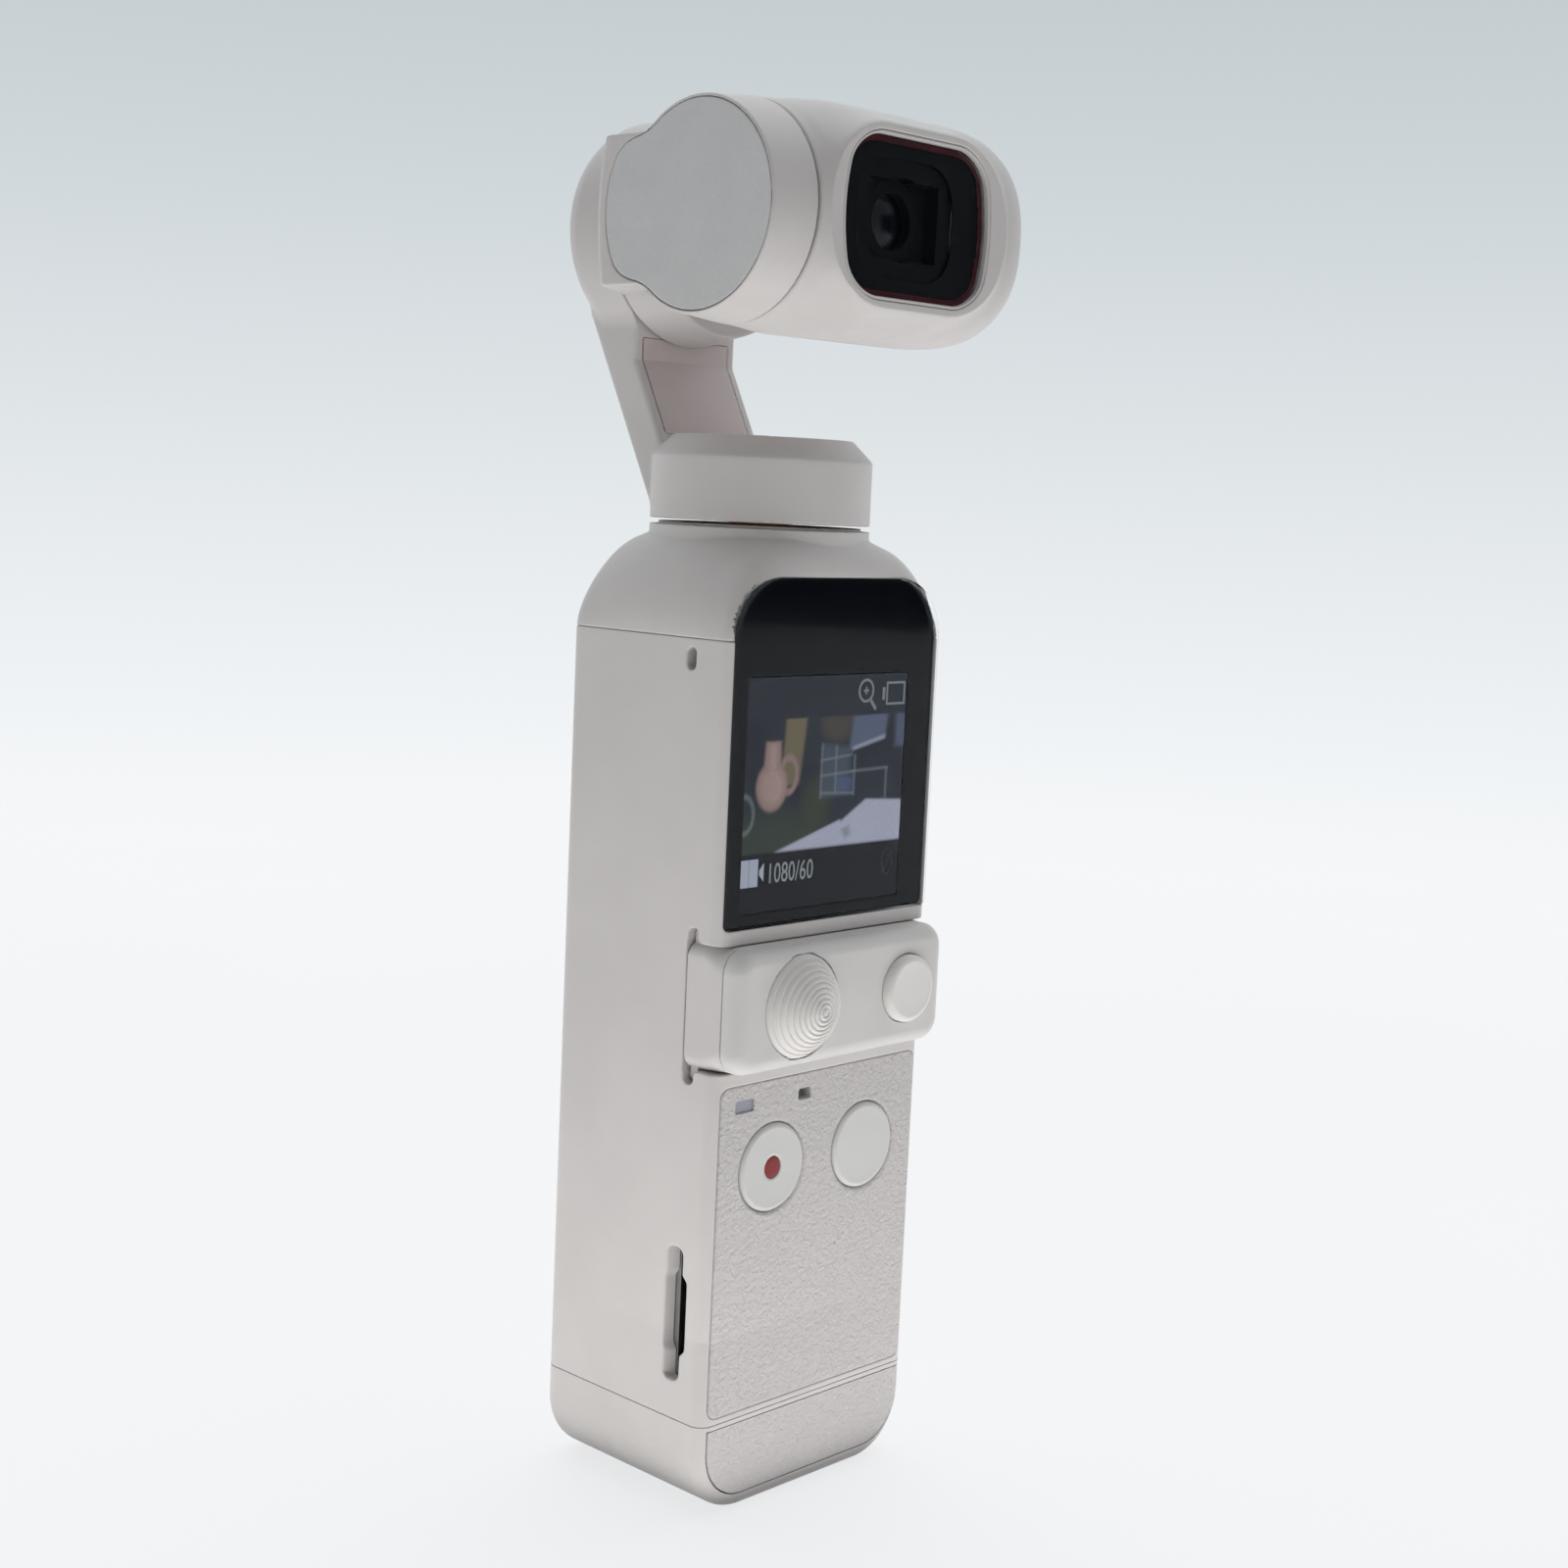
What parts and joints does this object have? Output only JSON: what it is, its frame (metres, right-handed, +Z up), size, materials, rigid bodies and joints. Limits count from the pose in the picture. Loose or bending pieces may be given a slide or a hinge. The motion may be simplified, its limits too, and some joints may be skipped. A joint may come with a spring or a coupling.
{
  "type": "gimbal camera",
  "caption": "Pocket gimbal camera: upright handle with a screen, buttons and a slide-in thumbstick module, and a camera head on pan, roll and tilt motors.",
  "frame": {"origin": "centre of the base's underside, where the charging opening is", "axes": "+Z up along the handle, -Y towards the side with the screen and the lens, -X towards the tilt motor"},
  "size_m": [0.0348, 0.0344, 0.126],
  "materials": {
    "body_plastic": "fine satin texture",
    "module_plastic": "smooth satin",
    "button_plastic": "smooth satin",
    "stick_plastic": "fine texture",
    "arm_cover_plastic": "satin",
    "panel_grain": "embossed leather grain",
    "screen_glass": "polished, black backed",
    "display": "glossy",
    "light_lens": "frosted translucent",
    "frame_alloy": "cast and blasted",
    "steel": "machined",
    "shield_metal": "stamped, tinned",
    "battery_wrap": "foil pouch with dark wrap",
    "circuit_board": "solder resist",
    "contact_gold": "gold plated",
    "record_red": "smooth satin",
    "dark_plastic": "matt black",
    "cable_film": "polyimide film",
    "cover_silver": "fine metallic satin paint",
    "window_glass": "polished and coated",
    "lens_glass": "coated",
    "sensor_glass": "glossy",
    "winding_copper": "enamelled copper on laminated iron",
    "magnet_nickel": "nickel plated"
  },
  "bodies": {
    "handle": {"handle_shell": "body_plastic", "shoulder_cap": "body_plastic", "screen_glass": "screen_glass", "display_panel": "display", "front_panel": "panel_grain", "status_light": "light_lens", "handle_frame": "frame_alloy", "frame_screws": "steel", "main_board": "circuit_board", "board_shield": "shield_metal", "battery": "battery_wrap", "key_board": "circuit_board", "key_domes": "steel", "card_reader": "steel", "microphones": "shield_metal", "charge_socket": "steel", "port_contacts": "contact_gold", "pan_stator": "winding_copper", "pan_bearings": "steel"},
    "base": {"base_shell": "body_plastic", "base_panel": "panel_grain"},
    "base_latch": {"base_latch": "button_plastic"},
    "record_button": {"record_button": "button_plastic", "record_dot": "record_red"},
    "power_button": {"power_button": "button_plastic"},
    "module": {"module_rail": "body_plastic", "module_shell": "module_plastic", "module_board": "circuit_board", "module_contacts": "contact_gold", "stick_base": "dark_plastic", "mode_switch": "steel"},
    "stick_rocker": {"stick_rocker": "dark_plastic"},
    "thumbstick": {"stick_cap": "stick_plastic"},
    "mode_button": {"mode_button": "stick_plastic"},
    "arm": {"gimbal_arm": "body_plastic", "arm_cover": "arm_cover_plastic", "arm_cable": "cable_film", "roll_cap": "body_plastic", "pan_magnets": "magnet_nickel", "pan_shaft": "steel", "roll_stator": "winding_copper", "roll_bearings": "steel"},
    "roll_frame": {"roll_bracket": "body_plastic", "tilt_cover": "cover_silver", "roll_magnets": "magnet_nickel", "roll_shaft": "steel", "tilt_stator": "winding_copper", "tilt_bearings": "steel"},
    "camera": {"camera_shell": "body_plastic", "camera_end_cap": "body_plastic", "window_frame": "body_plastic", "window_glass": "window_glass", "window_mask": "dark_plastic", "lens_housing": "dark_plastic", "lens_barrel": "dark_plastic", "lens_elements": "lens_glass", "image_sensor": "sensor_glass", "sensor_board": "circuit_board", "tilt_magnets": "magnet_nickel", "tilt_shaft": "steel"}
  },
  "joints": [
    {"name": "base_slide", "type": "slide", "parent": "handle", "child": "base", "axis": [0, 0, -1], "range_m": [0, 0.012]},
    {"name": "base_latch_press", "type": "slide", "parent": "base", "child": "base_latch", "axis": [0, -1, 0], "range_m": [0, 0.0008], "stiffness_N_per_m": 300},
    {"name": "record_press", "type": "slide", "parent": "handle", "child": "record_button", "axis": [0, 1, 0], "range_m": [0, 0.0003], "stiffness_N_per_m": 500},
    {"name": "power_press", "type": "slide", "parent": "handle", "child": "power_button", "axis": [0, 1, 0], "range_m": [0, 0.0003], "stiffness_N_per_m": 500},
    {"name": "module_slide", "type": "slide", "parent": "handle", "child": "module", "axis": [1, 0, 0], "range_m": [0, 0.03]},
    {"name": "stick_updown", "type": "hinge", "parent": "module", "child": "stick_rocker", "pos_m": [-0.0056, -0.0101, 0.0466], "axis": [1, 0, 0], "range_deg": [-15, 15], "stiffness_Nm_per_rad": 0.03},
    {"name": "stick_sideways", "type": "hinge", "parent": "stick_rocker", "child": "thumbstick", "pos_m": [-0.0056, -0.0101, 0.0466], "axis": [0, 0, 1], "range_deg": [-15, 15], "stiffness_Nm_per_rad": 0.03},
    {"name": "mode_press", "type": "slide", "parent": "module", "child": "mode_button", "axis": [0, 1, 0], "range_m": [0, 0.0003], "stiffness_N_per_m": 500},
    {"name": "pan", "type": "hinge", "parent": "handle", "child": "arm", "pos_m": [0, 0.0005, 0.0925], "axis": [0, 0, -1], "range_deg": [-70, 270]},
    {"name": "roll", "type": "hinge", "parent": "arm", "child": "roll_frame", "pos_m": [0, 0.011, 0.1151], "axis": [0, 1, 0], "range_deg": [-45, 45]},
    {"name": "tilt", "type": "hinge", "parent": "roll_frame", "child": "camera", "pos_m": [-0.0115, -0.0066, 0.1151], "axis": [-1, 0, 0], "range_deg": [-180, 80]}
  ]
}
